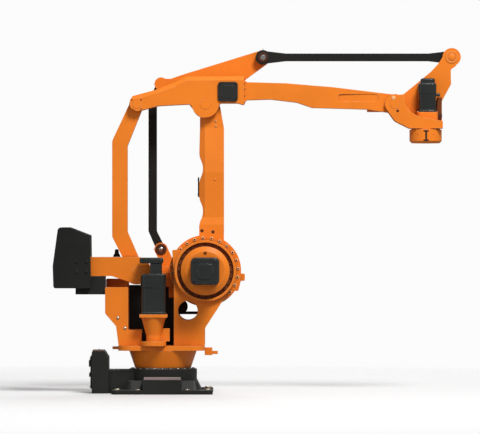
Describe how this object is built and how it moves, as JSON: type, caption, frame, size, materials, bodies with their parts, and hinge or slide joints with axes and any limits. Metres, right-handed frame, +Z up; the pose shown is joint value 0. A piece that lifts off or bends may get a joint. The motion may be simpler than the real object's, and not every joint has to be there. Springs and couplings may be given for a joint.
{
  "type": "industrial robot arm",
  "caption": "Four-axis palletising robot arm on a slewing column, with a double parallelogram linkage, counterweight and level tool flange.",
  "frame": {"origin": "slewing axis at floor level, on the underside of the base", "axes": "+X towards the arm's reach, +Y to the robot's left side, +Z up the slewing axis"},
  "size_m": [3.3637, 1.118, 2.847],
  "materials": {
    "orange_paint": "satin orange paint on castings",
    "black_paint": "semi-matt black paint",
    "motor_black": "satin black-green motor enamel",
    "bare_steel": "ground steel"
  },
  "bodies": {
    "base": {"base_frame": "black_paint", "junction_box": "black_paint", "connector_panel": "black_paint", "slew_bearing": "bare_steel"},
    "column": {"column_drum": "orange_paint", "lifting_lugs": "orange_paint", "near_cheek": "orange_paint", "far_cheek": "orange_paint", "near_leg": "orange_paint", "far_leg": "orange_paint", "front_web": "orange_paint", "rear_web": "black_paint", "shoulder_gear": "orange_paint", "shoulder_motor": "motor_black", "elbow_gear": "orange_paint", "elbow_motor": "motor_black", "slew_bell": "orange_paint", "slew_motor": "motor_black", "levelling_bracket": "orange_paint"},
    "link": {"link_arm": "orange_paint", "link_hub": "orange_paint", "elbow_pin": "orange_paint"},
    "crank": {"crank_lever": "orange_paint", "crank_cheek": "orange_paint", "counterweight_near": "black_paint", "counterweight_far": "black_paint", "counterweight_carrier": "black_paint", "counterweight_block": "black_paint"},
    "push_pivot": {"push_rod_pin": "orange_paint"},
    "push_rod": {"push_rod": "orange_paint"},
    "levelling_rod": {"levelling_rod": "black_paint"},
    "rocker": {"rocker_plate": "orange_paint", "rocker_rear_pin": "bare_steel", "rocker_front_pin": "bare_steel"},
    "upper_rod": {"upper_rod": "black_paint"},
    "arm": {"elbow_casting": "orange_paint", "forearm": "orange_paint", "arm_cover": "black_paint", "push_rod_top_pin": "orange_paint", "wrist_pin": "orange_paint"},
    "wrist": {"wrist_far_plate": "orange_paint", "wrist_near_plate": "orange_paint", "wrist_web": "orange_paint", "wrist_gear": "orange_paint", "wrist_collar": "orange_paint", "wrist_motor": "motor_black", "wrist_top_pin": "bare_steel"},
    "flange": {"tool_flange": "orange_paint"}
  },
  "joints": [
    {"name": "slew", "type": "hinge", "parent": "base", "child": "column", "pos_m": [0, 0, 0.205], "axis": [0, 0, 1], "range_deg": [-185, 185]},
    {"name": "link_swing", "type": "hinge", "parent": "column", "child": "link", "pos_m": [0.35, 0, 1.008], "axis": [0, 1, 0], "range_deg": [-15, 50]},
    {"name": "arm_drive", "type": "hinge", "parent": "column", "child": "crank", "pos_m": [0.35, 0, 1.008], "axis": [0, 1, 0], "range_deg": [-15, 35]},
    {"name": "levelling_pivot", "type": "hinge", "parent": "column", "child": "levelling_rod", "pos_m": [-0.02, 0, 1.182], "axis": [0, 1, 0], "range_deg": [-15, 50]},
    {"name": "rocker_pivot", "type": "hinge", "parent": "link", "child": "rocker", "pos_m": [0.35, 0, 2.38], "axis": [0, 1, 0], "range_deg": [-50, 15]},
    {"name": "elbow", "type": "hinge", "parent": "rocker", "child": "arm", "pos_m": [0.35, 0, 2.38], "axis": [0, 1, 0], "range_deg": [-15, 35]},
    {"name": "upper_rod_pivot", "type": "hinge", "parent": "rocker", "child": "upper_rod", "pos_m": [0.825, 0, 2.772], "axis": [0, 1, 0], "range_deg": [-15, 35]},
    {"name": "wrist_level", "type": "hinge", "parent": "arm", "child": "wrist", "pos_m": [1.91, 0, 2.38], "axis": [0, 1, 0], "range_deg": [-35, 15]},
    {"name": "push_pin_turn", "type": "hinge", "parent": "crank", "child": "push_pivot", "pos_m": [-0.215, 0, 1.008], "axis": [0, 1, 0], "range_deg": [-35, 15]},
    {"name": "push_rod_pivot", "type": "hinge", "parent": "push_pivot", "child": "push_rod", "pos_m": [-0.215, 0, 1.008], "axis": [0, 1, 0], "range_deg": [-15, 50]},
    {"name": "flange_turn", "type": "hinge", "parent": "wrist", "child": "flange", "pos_m": [2.166, 0, 2.158], "axis": [0, 0, 1], "range_deg": [-350, 350]}
  ],
  "couplings": [
    {"joint": "levelling_pivot", "follows": "link_swing", "ratio": 1},
    {"joint": "rocker_pivot", "follows": "link_swing", "ratio": -1},
    {"joint": "push_rod_pivot", "follows": "link_swing", "ratio": 1},
    {"joint": "elbow", "follows": "arm_drive", "ratio": 1},
    {"joint": "upper_rod_pivot", "follows": "arm_drive", "ratio": 1},
    {"joint": "wrist_level", "follows": "arm_drive", "ratio": -1},
    {"joint": "push_pin_turn", "follows": "arm_drive", "ratio": -1}
  ]
}
